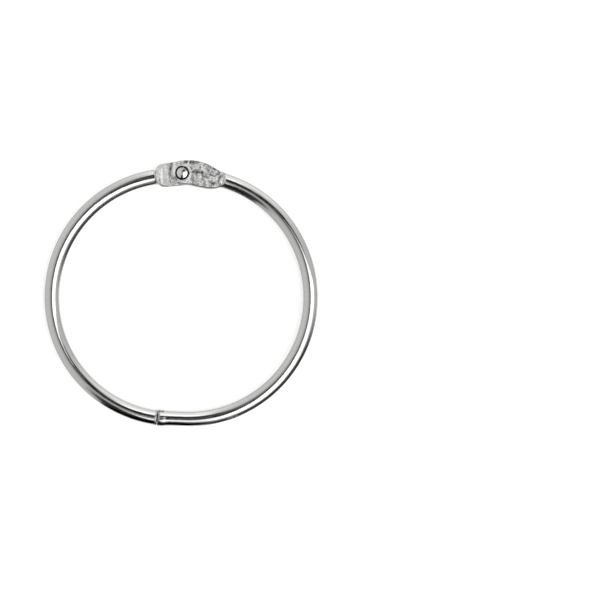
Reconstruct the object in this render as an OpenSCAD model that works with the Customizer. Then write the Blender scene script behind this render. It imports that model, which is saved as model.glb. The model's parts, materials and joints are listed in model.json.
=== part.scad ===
// Hinged snap ring for loose sheets, lying flat with its hinge toward +Y.
// Two round wire halves turn on one rivet: the end of one half is pressed into a fork,
// the end of the other into a tongue, and their far ends snap together, pin in socket.
// Millimetres, +Z up. The origin is under the middle of the closed ring, on the table.

/* [Ring] */
// Clear width across the closed ring
inside_d = 50.8; // [44:0.2:76]
// Diameter of the wire
wire_d = 3.3; // [3.1:0.1:3.7]
// Distance from the ring's middle line to the centre of each half's arc
arc_offset = 1.6; // [0.8:0.1:2.4]

/* [Hinge] */
// Sideways place of the rivet
rivet_x = 0.3; // [-0.6:0.1:1.2]
// How far the rivet stands outside the centre lines of the two arcs
rivet_rise = 0.5; // [0:0.1:1.2]
// Diameter of the rivet's shank
rivet_d = 1.7; // [1.3:0.1:1.9]
// Diameter of the rivet's heads
head_d = 2.95; // [2.6:0.05:3.6]
// Height of the rivet's heads
head_h = 0.5; // [0.35:0.05:0.8]
// Height of the steep rim round each head
head_rim_h = 0.28; // [0.1:0.02:0.3]
// Width of the steep rim, as seen from above
head_rim_w = 0.3; // [0.15:0.05:0.5]
// Gap between the tongue's hole and the shank, all round
hole_clearance = 0.05; // [0.03:0.01:0.1]
// Gap between the ears' holes and the shank, all round
rivet_seat_clearance = 0.01; // [0.01:0.01:0.03]

/* [Pressed ends] */
// How far the sides of the pressed ends bulge between their edges
side_bulge = 0.3; // [0.15:0.05:0.45]
// Length of each wire inside its pressed end
wire_into = 1.2; // [0.9:0.1:1.5]

/* [Tongue] */
// Thickness of the tongue
tongue_t = 1.1; // [0.9:0.05:1.3]
// Width of the tongue at the rivet
tongue_w = 5.15; // [4.8:0.05:5.3]
// Distance from the rivet to the tongue's tip
tongue_tip = 2.5; // [2.3:0.05:2.6]
// How much larger the radius of the tongue's tip is than half the tongue's width
tip_ease = 0.175; // [0.1:0.025:0.4]
// Width of the tongue's shoulder, where the wire swells into it
shoulder_w = 4.75; // [4.5:0.05:5]
// Distance from the rivet to the foot of the shoulder
shoulder_foot = 3.45; // [3.4:0.05:3.7]
// Radius of the hollow between the tongue and its shoulder
shoulder_r = 1.1; // [0.9:0.05:1.2]
// Length of the flat on top of the shoulder
shoulder_flat = 0.3; // [0.2:0.05:0.5]
// Distance from the rivet to the end of the shoulder
shoulder_end = 5.7; // [5.6:0.05:6]
// Radius of the shoulder's round outline
shoulder_round = 3.2; // [3.1:0.05:3.6]

/* [Fork] */
// Thickness of each ear
ear_t = 0.8; // [0.6:0.05:0.85]
// Gap between the tongue and each ear
ear_gap = 0.05; // [0.03:0.01:0.1]
// Distance from the rivet to the cut tips of the ears
ear_tip = 2.36; // [2.1:0.02:2.5]
// Radius of the round corner of the ears under the rivet
ear_round = 2.9; // [2.7:0.05:3]
// Gap between the swinging tongue and the floor of the fork's slot
slot_clearance = 0.15; // [0.1:0.05:0.4]
// Radius of the fork's arched back
back_r = 9.8; // [8.5:0.1:12]
// Height of the arched back above the fork's middle line
back_h = 3.1; // [2.9:0.05:3.3]
// Distance from the rivet to the highest point of the back
back_top = 2.5; // [2:0.1:3]
// Depth of the fork's straight belly below its middle line
belly_h = 2.38; // [2.2:0.02:2.6]
// Radius of the belly's round end
belly_r = 7; // [6:0.1:8]
// Distance from the rivet to the lowest point of the belly's round end
belly_low = 5.24; // [4.8:0.02:5.6]
// Distance from the rivet to the middle of the hollow at the fork's waist
waist_at = 2; // [1.6:0.1:2.4]
// Radius of the hollow at the waist
waist_r = 7; // [6:0.1:8]
// Depth of the hollow above the belly
waist_depth = 0.1; // [0.05:0.01:0.2]
// Length of the slope from the fork's flats up to the round wire
fork_slope = 0.7; // [0.4:0.1:1]
// Distance from the rivet to the point where the fork becomes round wire
fork_end = 8.6; // [8.4:0.1:9.2]

/* [Closure] */
// Place of the closure along the ring, in degrees from the side across from the hinge
closure_deg = 7.6; // [6.4:0.2:10]
// Gap between the two closed faces
closure_gap = 0.1; // [0.05:0.01:0.25]
// Width of the bevel round each face
face_bevel = 0.22; // [0.1:0.02:0.35]
// Diameter of the snap pin's bulb
pin_d = 1.6; // [1.2:0.1:1.8]
// Depth of the groove behind the bulb
pin_groove = 0.1; // [0.05:0.01:0.2]
// Length of the groove behind the bulb
pin_groove_l = 1.15; // [0.8:0.05:1.3]
// Length of the snap pin's tapered nose
pin_nose = 0.45; // [0.3:0.05:0.6]
// Radius of the snap pin's blunt tip
pin_tip_r = 0.48; // [0.3:0.02:0.55]
// Length of the snap pin
pin_l = 2.3; // [1.8:0.1:2.8]
// Gap round the snap pin and past its tip in the socket
socket_clearance = 0.12; // [0.1:0.01:0.18]
// Distance from the socket's mouth to the crimp dimples
dimple_at = 0.95; // [0.7:0.05:1.4]
// Diameter of the crimp dimples
dimple_d = 1.1; // [0.8:0.05:1.3]
// Depth of the crimp dimples
dimple_depth = 0.2; // [0.1:0.02:0.25]

/* [Hidden] */
$fn = 96;
nickel = "#c4c5c1";
bright_nickel = "#dcdcd8";
// Overlap that makes a cut or a joined solid run past the face it meets
over = 0.3;
// How far a round shape crosses a flat one where the two would only just touch
cross = 0.05;

wire_r = wire_d / 2;
arc_r = inside_d / 2 + wire_r - arc_offset;

// Height of an arc's centre line above the ring's middle, at a place across the ring
function arc_y(x, side) = sqrt(arc_r * arc_r - pow(x - side * arc_offset, 2));
// Point on an arc's centre line, at a bearing from the arc's own centre
function on_arc(side, deg) = [side * arc_offset + arc_r * cos(deg), arc_r * sin(deg)];
// Bearing of one point from another
function bearing(from, to) = atan2(to.y - from.y, to.x - from.x);

// Hinge: the rivet, and the points where each half's middle line leaves its wire
rivet_at = [rivet_x, sqrt(pow(arc_r + rivet_rise, 2) - pow(rivet_x - arc_offset, 2))];
tongue_root = [rivet_x - shoulder_end, arc_y(rivet_x - shoulder_end, -1)];
fork_root = [rivet_x + fork_end, arc_y(rivet_x + fork_end, 1)];
tongue_turn = bearing(rivet_at, tongue_root);
fork_turn = bearing(rivet_at, fork_root);
tongue_root_deg = bearing([-arc_offset, 0], tongue_root);
fork_root_deg = bearing([arc_offset, 0], fork_root);
into_deg = wire_into / arc_r * 180 / PI;

slot_t = tongue_t + 2 * ear_gap;
flat_t = slot_t + 2 * ear_t;
// Height of the blanks before the flats are pressed, just clear of the wire
blank_t = max(wire_d, flat_t) + 2 * cross;
// Radius of the bulging sides, as seen along an edge
bulge_r = (flat_t * flat_t / 4 + side_bulge * side_bulge) / (2 * side_bulge);
tongue_tip_r = tongue_w / 2 + tip_ease;
// Corner of the tongue's tip, the point of it that swings nearest to the slot's floor
tip_corner = [tongue_tip_r - tongue_tip - sqrt(tongue_tip_r * tongue_tip_r - tongue_w * tongue_w / 4),
              tongue_w / 2];
slot_floor = norm(tip_corner) + slot_clearance;
// Larger than any blank, for shapes that are open on one side
far = 3 * fork_end;

// Closure: its middle, the bearing of its faces, and the way the snap pin swings in
closure_face_deg = 270 - closure_deg;
closure_at = on_arc(-1, closure_face_deg);
closure_turn = -closure_deg;
pin_turn = bearing(rivet_at, closure_at) + 90;
bevel_start_deg = closure_face_deg - face_bevel / arc_r * 180 / PI;
socket_d = pin_d + 2 * socket_clearance;
socket_l = pin_l + socket_clearance;

// The socket half ends in a straight stub, tangent to its arc and aimed at the closure
stub_reach = norm(closure_at - [arc_offset, 0]);
stub_l = sqrt(stub_reach * stub_reach - arc_r * arc_r);
stub_deg = bearing([arc_offset, 0], closure_at) + acos(arc_r / stub_reach);

// Frame: the middle of the closed ring's outline, and the table under its rivet
back_at = [back_top, back_h - back_r];
ring_top = rivet_at.y + back_at.x * sin(fork_turn) + back_at.y * cos(fork_turn) + back_r;
ring_bottom = -arc_r - wire_r;
middle = [0, (ring_top + ring_bottom) / 2];
lay_z = max(flat_t / 2 + head_h, wire_r);

// Moves the ring's own middle plane and middle into the frame described above
module in_frame() {
    translate([-middle.x, -middle.y, lay_z]) children();
}

// Places its children at the rivet, with +X along the middle line of a half's hinge end
module at_hinge(turn) {
    translate(rivet_at) rotate(turn) children();
}

// Places its children at a point of the ring, with +Z along a bearing in the ring's plane
module aimed(at, turn) {
    translate(at) rotate([0, 90, turn]) children();
}

// Round wire along an arc; its child lengthens it past the start, with +Z pointing out
module wire_arc(side, start_deg, turn_deg) {
    translate([side * arc_offset, 0]) rotate(start_deg) {
        rotate_extrude(angle = turn_deg) translate([arc_r, 0]) circle(d = wire_d);
        translate([arc_r, 0]) rotate([90 * sign(turn_deg), 0, 0]) children();
    }
}

// Section through a blank, square to an edge: its side bulges out to the given reach
module bulged_section(reach, depth) {
    intersection() {
        translate([reach - depth, -blank_t / 2]) square([depth, blank_t]);
        union() {
            translate([reach - bulge_r, 0]) circle(r = bulge_r);
            translate([reach - depth, -blank_t / 2])
                square([max(depth - bulge_r, over), blank_t]);
        }
    }
}

// Round blank with a bulging rim
module bulged_disc(r) {
    rotate_extrude() bulged_section(r, r);
}

// Cut that leaves a bulging side round a hollow
module hollow_spool(r) {
    rotate_extrude() difference() {
        translate([0, -blank_t]) square([r + bulge_r, 2 * blank_t]);
        translate([r + bulge_r, 0]) circle(r = bulge_r);
    }
}

// Everything on the -X side of a straight edge with a bulging side
module bulged_slab(reach) {
    rotate([90, 0, 0]) linear_extrude(height = far, center = true) bulged_section(reach, far);
}

// Everything on the -X side of a plane
module open_slab(reach) {
    translate([reach - far, -far / 2, -blank_t / 2]) cube([far, far, blank_t]);
}

// Cuts above and below a blank, from an outline of length and height
module press() {
    for (side = [0, 1])
        mirror([0, 0, side])
            rotate([90, 0, 0])
                linear_extrude(height = 2 * (back_h + tongue_w), center = true) children();
}

// Thin tongue, hollow rise to the shoulder, short flat, and slope up to the round wire
module tongue_press() {
    low = tongue_t / 2;
    high = flat_t / 2;
    top = blank_t / 2 + over;
    crest = shoulder_foot + shoulder_r;
    intersection() {
        union() {
            translate([-tongue_w, low]) square([tongue_w + shoulder_foot + over, top - low]);
            translate([shoulder_foot, low + shoulder_r - cross]) circle(r = shoulder_r);
            polygon([[shoulder_foot, high], [crest + shoulder_flat, high],
                     [shoulder_end + over, blank_t / 2], [shoulder_end + over, top],
                     [shoulder_foot, top]]);
        }
        translate([-tongue_w, low]) square([tongue_w + shoulder_end + 2 * over, top - low]);
    }
}

// Long flats over the fork, and the slope up to the round wire
module fork_press() {
    high = flat_t / 2;
    top = blank_t / 2 + over;
    polygon([[-2 * ear_tip, high], [fork_end - fork_slope, high],
             [fork_end + over, blank_t / 2],
             [fork_end + over, top], [-2 * ear_tip, top]]);
}

// Blank of the tongue: straight sides that widen toward the rivet, round at both ends
module tongue_blank() {
    taper = atan((tongue_w - shoulder_w) / (2 * shoulder_end));
    intersection() {
        translate([0, tongue_w / 2]) rotate(90 - taper) bulged_slab(0);
        translate([0, -tongue_w / 2]) rotate(taper - 90) bulged_slab(0);
        translate([-tongue_tip, 0]) union() {
            translate([tongue_tip_r, 0]) cylinder(r = tongue_tip_r, h = blank_t, center = true);
            rotate(180) open_slab(-tongue_tip);
        }
        translate([shoulder_end - shoulder_round, 0]) union() {
            bulged_disc(shoulder_round);
            open_slab(0);
        }
    }
}

// Blank of the fork: arched back, straight belly with a round end, waist and cut ear tips
module fork_blank() {
    difference() {
        intersection() {
            translate(back_at) bulged_disc(back_r);
            union() {
                rotate(-90) bulged_slab(belly_h);
                open_slab(waist_at);
            }
            union() {
                translate([belly_low, belly_r - belly_h - cross]) bulged_disc(belly_r);
                open_slab(belly_low);
            }
            union() {
                bulged_disc(ear_round);
                rotate(180) open_slab(0);
                rotate(-90) open_slab(0);
            }
            rotate(180) open_slab(ear_tip);
            open_slab(fork_end);
        }
        translate([waist_at, waist_depth - belly_h - waist_r]) hollow_spool(waist_r);
    }
}

// What lies past a closed face, and the ring that is bevelled off its rim; +Z points out
module face_trim() {
    difference() {
        translate([0, 0, -face_bevel]) cylinder(r = wire_d, h = wire_d + face_bevel);
        translate([0, 0, -face_bevel - over])
            cylinder(r1 = wire_r + over, r2 = wire_r - face_bevel, h = face_bevel + over);
    }
}

// Half with the tongue; its far end carries the snap pin
module tongue_half() {
    color(nickel) in_frame() {
        difference() {
            union() {
                wire_arc(-1, bevel_start_deg, tongue_root_deg - into_deg - bevel_start_deg)
                    cylinder(r1 = wire_r, r2 = wire_r - face_bevel, h = face_bevel);
                snap_pin();
                at_hinge(tongue_turn) tongue_blank();
            }
            at_hinge(tongue_turn) {
                press() tongue_press();
                cylinder(d = rivet_d + 2 * hole_clearance, h = 2 * tongue_t, center = true);
            }
        }
    }
}

// Grooved pin with a bulb and a tapered nose
module snap_pin() {
    bulb_r = pin_d / 2;
    neck_r = bulb_r - pin_groove;
    aimed(closure_at, pin_turn)
        rotate_extrude()
            polygon([[0, -over], [neck_r, -over], [neck_r, pin_groove_l],
                     [bulb_r, pin_groove_l + pin_groove], [bulb_r, pin_l - pin_nose],
                     [pin_tip_r, pin_l], [0, pin_l]]);
}

// Half with the fork; its far end is a straight stub with the socket in its mouth
module fork_half() {
    color(nickel) in_frame() {
        difference() {
            union() {
                wire_arc(1, stub_deg, fork_root_deg + into_deg - stub_deg)
                    cylinder(d = wire_d, h = stub_l);
                at_hinge(fork_turn) fork_blank();
            }
            at_hinge(fork_turn) {
                press() fork_press();
                translate([slot_floor - 2 * fork_end, -fork_end, -slot_t / 2])
                    cube([2 * fork_end, 2 * fork_end, slot_t]);
                cylinder(d = rivet_d + 2 * rivet_seat_clearance, h = 2 * blank_t, center = true);
            }
            socket();
        }
    }
}

// What the mouth of the socket half loses: its sloping face, the bore and the dimples
module socket() {
    dimple_r = (dimple_d * dimple_d / 4 + dimple_depth * dimple_depth) / (2 * dimple_depth);
    aimed(closure_at, closure_turn) translate([0, 0, closure_gap])
        mirror([0, 0, 1]) face_trim();
    aimed(closure_at, pin_turn) {
        cylinder(d = socket_d, h = socket_l);
        cylinder(d1 = socket_d + 2 * face_bevel, d2 = socket_d, h = closure_gap + face_bevel);
        for (side = [-1, 1])
            translate([side * (wire_r + dimple_r - dimple_depth), 0, dimple_at + closure_gap])
                sphere(r = dimple_r);
    }
}

// Rivet through both ears and the tongue, with a low domed head on each side
module rivet() {
    shank_r = rivet_d / 2;
    head_r = head_d / 2;
    dome_h = head_h - head_rim_h;
    dome_base_r = head_r - head_rim_w;
    dome_r = (dome_base_r * dome_base_r + dome_h * dome_h) / (2 * dome_h);
    color(bright_nickel) in_frame() translate(rivet_at) {
        cylinder(r = shank_r, h = flat_t, center = true);
        for (side = [0, 1])
            mirror([0, 0, side]) translate([0, 0, flat_t / 2]) {
                cylinder(r1 = head_r, r2 = dome_base_r, h = head_rim_h);
                translate([0, 0, head_rim_h])
                    rotate_extrude() intersection() {
                        translate([0, dome_h - dome_r]) circle(r = dome_r);
                        square([dome_base_r, dome_h]);
                    }
            }
    }
}

fork_half();
tongue_half();
rivet();
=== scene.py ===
"""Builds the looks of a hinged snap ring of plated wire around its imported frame, for Blender 4.5."""

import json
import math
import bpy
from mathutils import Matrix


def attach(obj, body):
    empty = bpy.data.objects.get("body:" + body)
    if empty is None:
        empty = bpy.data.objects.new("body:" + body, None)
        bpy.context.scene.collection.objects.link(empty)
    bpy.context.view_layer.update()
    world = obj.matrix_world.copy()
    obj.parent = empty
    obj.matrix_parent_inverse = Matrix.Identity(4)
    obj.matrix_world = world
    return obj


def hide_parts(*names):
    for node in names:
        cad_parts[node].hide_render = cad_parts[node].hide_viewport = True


bl_info = {
    "name": "Binder Ring",
    "version": (1, 0, 0),
    "blender": (4, 5, 0),
    "location": "3D Viewport > Sidebar > Binder Ring",
    "description": "Snap ring of nickel plated wire with a pressed and riveted hinge",
    "category": "Add Mesh",
}

from types import SimpleNamespace

import bmesh
import bpy
import numpy as np

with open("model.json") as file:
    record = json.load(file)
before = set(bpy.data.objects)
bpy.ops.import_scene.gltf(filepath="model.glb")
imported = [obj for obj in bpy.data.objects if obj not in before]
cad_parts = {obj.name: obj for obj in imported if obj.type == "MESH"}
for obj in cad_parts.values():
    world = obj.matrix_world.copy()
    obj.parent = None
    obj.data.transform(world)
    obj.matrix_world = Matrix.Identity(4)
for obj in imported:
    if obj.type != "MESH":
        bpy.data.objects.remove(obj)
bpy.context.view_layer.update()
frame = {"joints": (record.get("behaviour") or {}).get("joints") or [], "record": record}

MM = 0.001
HINGE_AT = [c / MM for c in frame["joints"][0]["pos_m"]]
WIRE_D = 2 * frame["record"]["mounts"][0]["dims"]["r_mm"]

# Faces round a quarter of every section: those on the side, level with the slot, and the rest
SIDE_CELLS = 6
TOP_CELLS = 26
QUARTER = SIDE_CELLS + TOP_CELLS
ROUND = 4 * QUARTER
# Points round a section between which an ear's outer sheet lies, level with the slot's wall
EAR_FROM = SIDE_CELLS
EAR_TO = 2 * QUARTER - SIDE_CELLS
# Cells from the middle of a rivet hole to the edge of the block it takes, along and across
HOLE_ROWS = 7
HOLE_COLS = 5
# Parts of a point's finish: how matt; how rubbed, with painted highlights; how stained, with painted
# shade and painted dark reflections
MATT, RUBBED_AND_HIGHLIT, STAINED_AND_PAINTED_DARK = 0, 1, 2


def size(name, description, mm):
    """A length that is given here in millimetres and kept in metres."""
    return bpy.props.FloatProperty(name=name, description=description, default=mm * MM,
                                   min=0.0, precision=5, unit="LENGTH", subtype="DISTANCE")


def share(name, description, value):
    """A plain number from 0 to 1."""
    return bpy.props.FloatProperty(name=name, description=description, default=value,
                                   min=0.0, max=1.0, subtype="FACTOR")


def colour(name, description, code):
    """A colour that is given as an sRGB hex value and kept as linear."""
    return bpy.props.FloatVectorProperty(name=name, description=description, size=4,
                                         default=linear(code), min=0.0, max=1.0,
                                         subtype="COLOR")


def linear(code):
    """Linear RGBA of an sRGB hex value."""
    srgb = np.array([int(code[k:k + 2], 16) for k in (1, 3, 5)]) / 255
    rgb = np.where(srgb <= 0.04045, srgb / 12.92, ((srgb + 0.055) / 1.055) ** 2.4)
    return (*rgb.tolist(), 1.0)


class BinderRingWire(bpy.types.PropertyGroup):
    """Sizes of the two wire arcs and of the flats that are pressed on their ends"""

    inside_d: size("Clear width", "Clear width across the closed ring", 50.8)
    wire_d: size("Wire", "Diameter of the wire", WIRE_D)
    arc_offset: size("Arc offset", "From the ring's middle line to the centre of each arc", 1.6)
    rivet_rise: size("Rivet rise", "How far the rivet stands outside the arcs' centre lines", 0.5)
    flat_t: size("Flat", "Thickness of the pressed ends over their flats", 2.8)
    bulge_t: size("Bulge", "Height at which the bulging sides would close over a flat", 6.0)
    edge_soft: size("Soft edge", "Width of the soft edge round a flat", 0.6)
    crown: size("Crown", "How far a flat falls toward its edges", 0.03)


class BinderRingTongue(bpy.types.PropertyGroup):
    """Sizes of the pressed tongue and its shoulder"""

    thick: size("Thickness", "Thickness of the tongue", 1.1)
    width: size("Width", "Width of the tongue at the rivet", 5.15)
    tip: size("Tip", "From the rivet to the tongue's tip", 2.5)
    tip_r: size("Tip radius", "Radius of the tongue's tip", 2.75)
    hole_d: size("Hole", "Diameter of the tongue's hole", 1.8)
    shoulder_w: size("Shoulder width", "Width where the wire swells into the shoulder", 4.75)
    foot: size("Shoulder foot", "From the rivet to the foot of the shoulder", 3.15)
    hollow_l: size("Hollow", "Length of the slope that rises to the shoulder", 1.45)
    crest: size("Crest", "Length of the flat on top of the shoulder", 0.35)
    sill_r: size("Sill", "From the rivet to the low sill round the ears' corner", 3.05)
    sill_h: size("Sill height", "Height of the sill over the tongue", 0.17)
    root: size("Root", "From the rivet to the end of the shoulder", 5.7)
    round_r: size("Shoulder round", "Radius of the shoulder's round outline", 3.2)


class BinderRingFork(bpy.types.PropertyGroup):
    """Sizes of the pressed fork and its ears"""

    slot_t: size("Slot", "Width of the slot between the ears", 1.2)
    slot_floor: size("Slot floor", "From the rivet to the floor of the slot", 2.8225)
    hole_d: size("Hole", "Diameter of the holes through the ears", 1.72)
    tip: size("Ear tips", "From the rivet to the cut tips of the ears", 2.36)
    tip_soft: size("Tip corners", "Radius of the corners of the cut tips", 0.4)
    tip_edge: size("Tip edge", "Radius of the rubbed edge of the cut tips", 0.3)
    under_r: size("Under the rivet", "Radius of the ears' corner under the rivet", 3.03)
    ear_drop: size("Ear drop", "How much lower the ears reach than the belly", 0.5)
    lip_t: size("Corner lip", "Thickness of each ear at its thinned corner under the rivet", 0.12)
    back_r: size("Back radius", "Radius of the arched back", 9.8)
    back_h: size("Back height", "Height of the arched back over the middle line", 3.1)
    back_top: size("Back top", "From the rivet to the highest point of the back", 2.5)
    belly_h: size("Belly", "Depth of the straight belly below the middle line", 2.38)
    belly_r: size("Belly radius", "Radius of the belly's round end", 7.0)
    belly_low: size("Belly low", "From the rivet to where the belly's round end starts", 5.24)
    waist_at: size("Waist", "From the rivet to the middle of the waist", 2.0)
    waist_r: size("Waist radius", "Radius of the hollow at the waist", 7.0)
    waist_near_r: size("Waist near radius", "Radius of the hollow on the rivet's side", 3.6)
    waist_depth: size("Waist depth", "Depth of the hollow at the waist", 0.1)
    root: size("Root", "From the rivet to the point where the fork is round wire", 8.6)
    pit_depth: size("Pit depth", "How deep the pits lie in the flats", 0.05)
    rub_height: size("Rub height", "How far rubbed places stand over the flats", 0.03)


class BinderRingRivet(bpy.types.PropertyGroup):
    """Sizes of the rivet"""

    shank_d: size("Shank", "Diameter of the shank", 1.7)
    head_d: size("Head", "Diameter of the heads", 2.95)
    head_h: size("Head height", "Height of the heads", 0.5)
    rim_h: size("Rim height", "Height of the steep rim round each head", 0.28)
    rim_w: size("Rim width", "Width of the steep rim, as seen from above", 0.3)
    tip_soft: size("Soft tip", "Radius of the soft tip of each head's cone", 0.25)


class BinderRingClosure(bpy.types.PropertyGroup):
    """Sizes of the snap closure"""

    turn: bpy.props.FloatProperty(name="Place", description="Place of the closure along the ring",
                                  default=math.radians(7.6), subtype="ANGLE")
    gap: size("Gap", "Gap between the two closed faces", 0.1)
    bevel: size("Rounding", "How far the rim of each face is rounded down", 0.22)
    face_l: size("Face round", "Length over which the pin's face is rounded down", 0.45)
    mouth_l: size("Mouth round", "Length over which the socket's mouth is rounded down", 0.9)
    swell: size("Swell", "How far the socket's mouth swells beyond the wire", 0.13)
    burr: size("Burr", "How far the mouth's rim is spread on its outer side", 0.05)
    pin_d: size("Pin", "Diameter of the snap pin's bulb", 1.6)
    pin_l: size("Pin length", "Length of the snap pin", 2.3)
    groove: size("Groove", "Depth of the groove behind the bulb", 0.1)
    groove_l: size("Groove length", "Length of the groove behind the bulb", 1.15)
    nose: size("Nose", "Length of the snap pin's tapered nose", 0.45)
    nose_r: size("Nose tip", "Radius of the snap pin's blunt tip", 0.48)
    clearance: size("Clearance", "Gap round the snap pin in its socket", 0.12)
    dimple_at: size("Dimple place", "From the socket's mouth to the crimp dimples", 0.85)
    dimple_d: size("Dimple", "Diameter of the crimp dimples", 1.0)
    dimple_depth: size("Dimple depth", "Depth of the crimp dimples", 0.04)


class BinderRingFinish(bpy.types.PropertyGroup):
    """Colours and gloss of the plating"""

    plate: colour("Plate", "Bright nickel plate on the wire", "#d1d1cf")
    pressed: colour("Pressed plate", "Nickel plate over the grain of a pressed flat", "#f4f4f3")
    mottle: colour("Mottle", "Duller patches of a pressed flat", "#9c9c9b")
    side: colour("Pressed sides", "Duller metal on the sides of a pressed end", "#b0b0af")
    # The pit colour also takes painted shade: beside the ears' cut tips, in the closure's gap and at
    # the socket's mouth
    pit: colour("Pits", "Dull metal and residue in the pits of a pressed flat", "#5a5a58")
    head: colour("Rivet", "Polished plate on the rivet's heads", "#eeeeea")
    # The seam colour is painted shade: the dark ring round each rivet head where it meets the ear
    seam: colour("Seam", "Dark residue in the seam round a head", "#1c1c19")
    floor: colour("Floor", "Pale studio floor", "#f2f2f0")
    gloss: share("Wire roughness", "Roughness of the drawn and plated wire", 0.11)
    matt: share("Pressed roughness", "Roughness of the pressed flats", 0.5)


def in_mm(group):
    """The values of a property group, with its lengths in millimetres."""
    units = {key: MM if prop.unit == "LENGTH" else 1
             for key, prop in group.bl_rna.properties.items() if prop.type == "FLOAT"}
    return SimpleNamespace(**{key: getattr(group, key) / unit for key, unit in units.items()})


# Marks on the pressed flats, as strokes round the rivet in millimetres: from (x, y), to (x, y),
# radius and strength. The fork's pits are scale that the die pressed in.
FORK_PITS = (
    (0.75, 2.45, 0.95, 2.25, 0.40, 0.90), (1.60, 1.95, 1.75, 2.40, 0.28, 0.90),
    (1.95, 2.55, 2.90, 2.52, 0.30, 1.00), (2.95, 2.45, 3.40, 2.05, 0.28, 0.90),
    (2.20, 2.05, 2.50, 2.00, 0.25, 0.60), (-0.63, 2.60, -0.45, 2.60, 0.24, 0.75),
    (4.45, 1.55, 4.85, 1.80, 0.34, 0.80), (5.20, 1.75, 6.00, 1.35, 0.26, 0.65),
    (6.65, 0.95, 6.90, 0.80, 0.32, 1.25), (7.25, 0.55, 7.95, 0.00, 0.26, 0.75),
    (1.80, 0.94, 2.00, 0.80, 0.30, 0.60), (2.40, 0.20, 3.10, -0.10, 0.42, 0.60),
    (3.10, -0.10, 3.60, 0.20, 0.25, 0.50), (4.15, 0.25, 4.22, -0.60, 0.32, 1.00),
    (4.19, -0.60, 4.60, -0.95, 0.24, 0.55), (2.45, -0.75, 2.75, -1.00, 0.28, 0.50),
    (5.60, -0.35, 6.40, -0.60, 0.26, 0.85), (6.40, -0.60, 6.75, -0.65, 0.30, 0.95),
    (6.75, -0.70, 6.85, -1.15, 0.22, 0.55), (5.35, -1.75, 5.65, -2.00, 0.30, 0.65),
    (6.40, -2.22, 6.75, -2.05, 0.26, 1.00), (8.00, -2.30, 8.10, -2.30, 0.20, 0.70),
    (7.30, -1.10, 7.70, -1.50, 0.34, 0.50), (4.30, -1.60, 4.80, -1.70, 0.26, 0.40),
    (5.00, -0.90, 5.40, -1.20, 0.22, 0.50), (5.90, -1.30, 6.20, -1.60, 0.22, 0.45),
    (3.50, 1.35, 3.80, 1.10, 0.20, 0.35), (7.55, -0.70, 8.05, -1.90, 0.42, 0.42),
    (6.00, 0.30, 6.60, 0.10, 0.30, 0.45), (7.20, -0.20, 7.60, -0.45, 0.30, 0.50),
)
# Rubbed places on the fork, painted paler: a painted highlight along the crease right of the rivet, a
# smooth patch under the rivet lightened over the thinned corner's shade, and a painted highlight by
# the ears' cut tips
FORK_RUBS_AND_HIGHLIGHTS = (
    (0.77, -1.95, 1.85, -0.05, 0.20, 1.0), (-1.30, -2.10, 0.55, -2.10, 0.60, 0.92),
    (-1.60, 2.20, -1.85, -0.60, 0.34, 1.0),
)
# A dark dot on the lower lip of the socket's mouth, and painted shade: over the crimp dimple and along
# the mouth's swollen upper edge
SOCKET_DOT_AND_SHADE = (
    (-4.46, -52.96, -4.40, -52.96, 0.17, 1.2), (-4.55, -51.20, -4.25, -51.22, 0.20, 0.40),
    (-5.20, -49.74, -3.90, -49.84, 0.24, 0.72),
)
# A scuff on the outer side of the wire
WIRE_SCUFFS = (
    (9.80, -51.45, 10.35, -51.28, 0.48, 1.30), (11.00, -51.00, 11.50, -50.78, 0.44, 1.10),
)
# Dark marks painted on the rivet's heads: a painted reflection of the dark streak that the room throws
# across each head
HEAD_REFLECTION_MARKS = (
    (0.31, 0.45, 0.37, 0.52, 0.15, 1.2), (-0.03, -0.72, -0.06, -1.12, 0.20, 1.8),
    (0.26, 0.40, 0.00, -0.55, 0.08, 0.7),
)
# Painted shade on the tongue: the shadow band beside the ears' cut tips, fading downward, and a darker
# band on the shoulder's lower half
TONGUE_SHADE_MARKS = (
    (-2.20, 2.45, -2.55, 0.60, 0.36, 0.62), (-2.55, 0.60, -2.70, -0.30, 0.36, 0.54),
    (-2.70, -0.30, -2.60, -0.90, 0.30, 0.34), (-4.80, -0.20, -4.78, -1.60, 0.28, 0.46),
)
# Rubbed places on the tongue: its face smoothed all over, and light streaks painted as highlights on
# the slope up to the shoulder and its crest
TONGUE_RUBS_AND_HIGHLIGHTS = (
    (-3.30, 1.60, -3.60, -1.80, 2.20, 0.52), (-4.30, 0.70, -4.22, -2.20, 0.26, 1.1),
    (-3.05, -0.60, -3.00, -2.00, 0.22, 0.75), (-3.70, 2.00, -3.55, 0.40, 0.30, 0.70),
)


# Curves and steps ----------------------------------------------------

def smooth_step(low, high, x):
    """0 at low, 1 at high, and 3t2 - 2t3 in between."""
    t = np.clip((x - low) / (high - low), 0, 1)
    return t * t * (3 - 2 * t)


def smooth_min(a, b, width):
    """The lower of a and b, less a parabola where they differ by less than the width."""
    h = np.clip(0.5 + 0.5 * (b - a) / width, 0, 1)
    return b + (a - b) * h - width * h * (1 - h)


def smooth_max(a, b, width):
    """The higher of a and b, plus a parabola where they differ by less than the width."""
    return -smooth_min(-a, -b, width)


def chord(x, middle, radius):
    """Half the width of a circle at x: the root of radius squared less distance squared."""
    return np.sqrt(np.maximum(radius ** 2 - (x - middle) ** 2, 0))


def end_round(x, end, radius):
    """What a quarter round of this radius takes off just past an end at the low side of x."""
    return radius - chord(np.clip(end + radius - x, 0, radius), 0, radius)


def unit(deg):
    """Unit vector, or vectors, at a bearing in the ring's plane."""
    angle = np.radians(deg)
    return np.stack([np.cos(angle), np.sin(angle)], axis=-1)


def bearing(start, end):
    """Bearing of one point from another, in degrees."""
    return math.degrees(math.atan2(end[1] - start[1], end[0] - start[0]))


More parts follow.
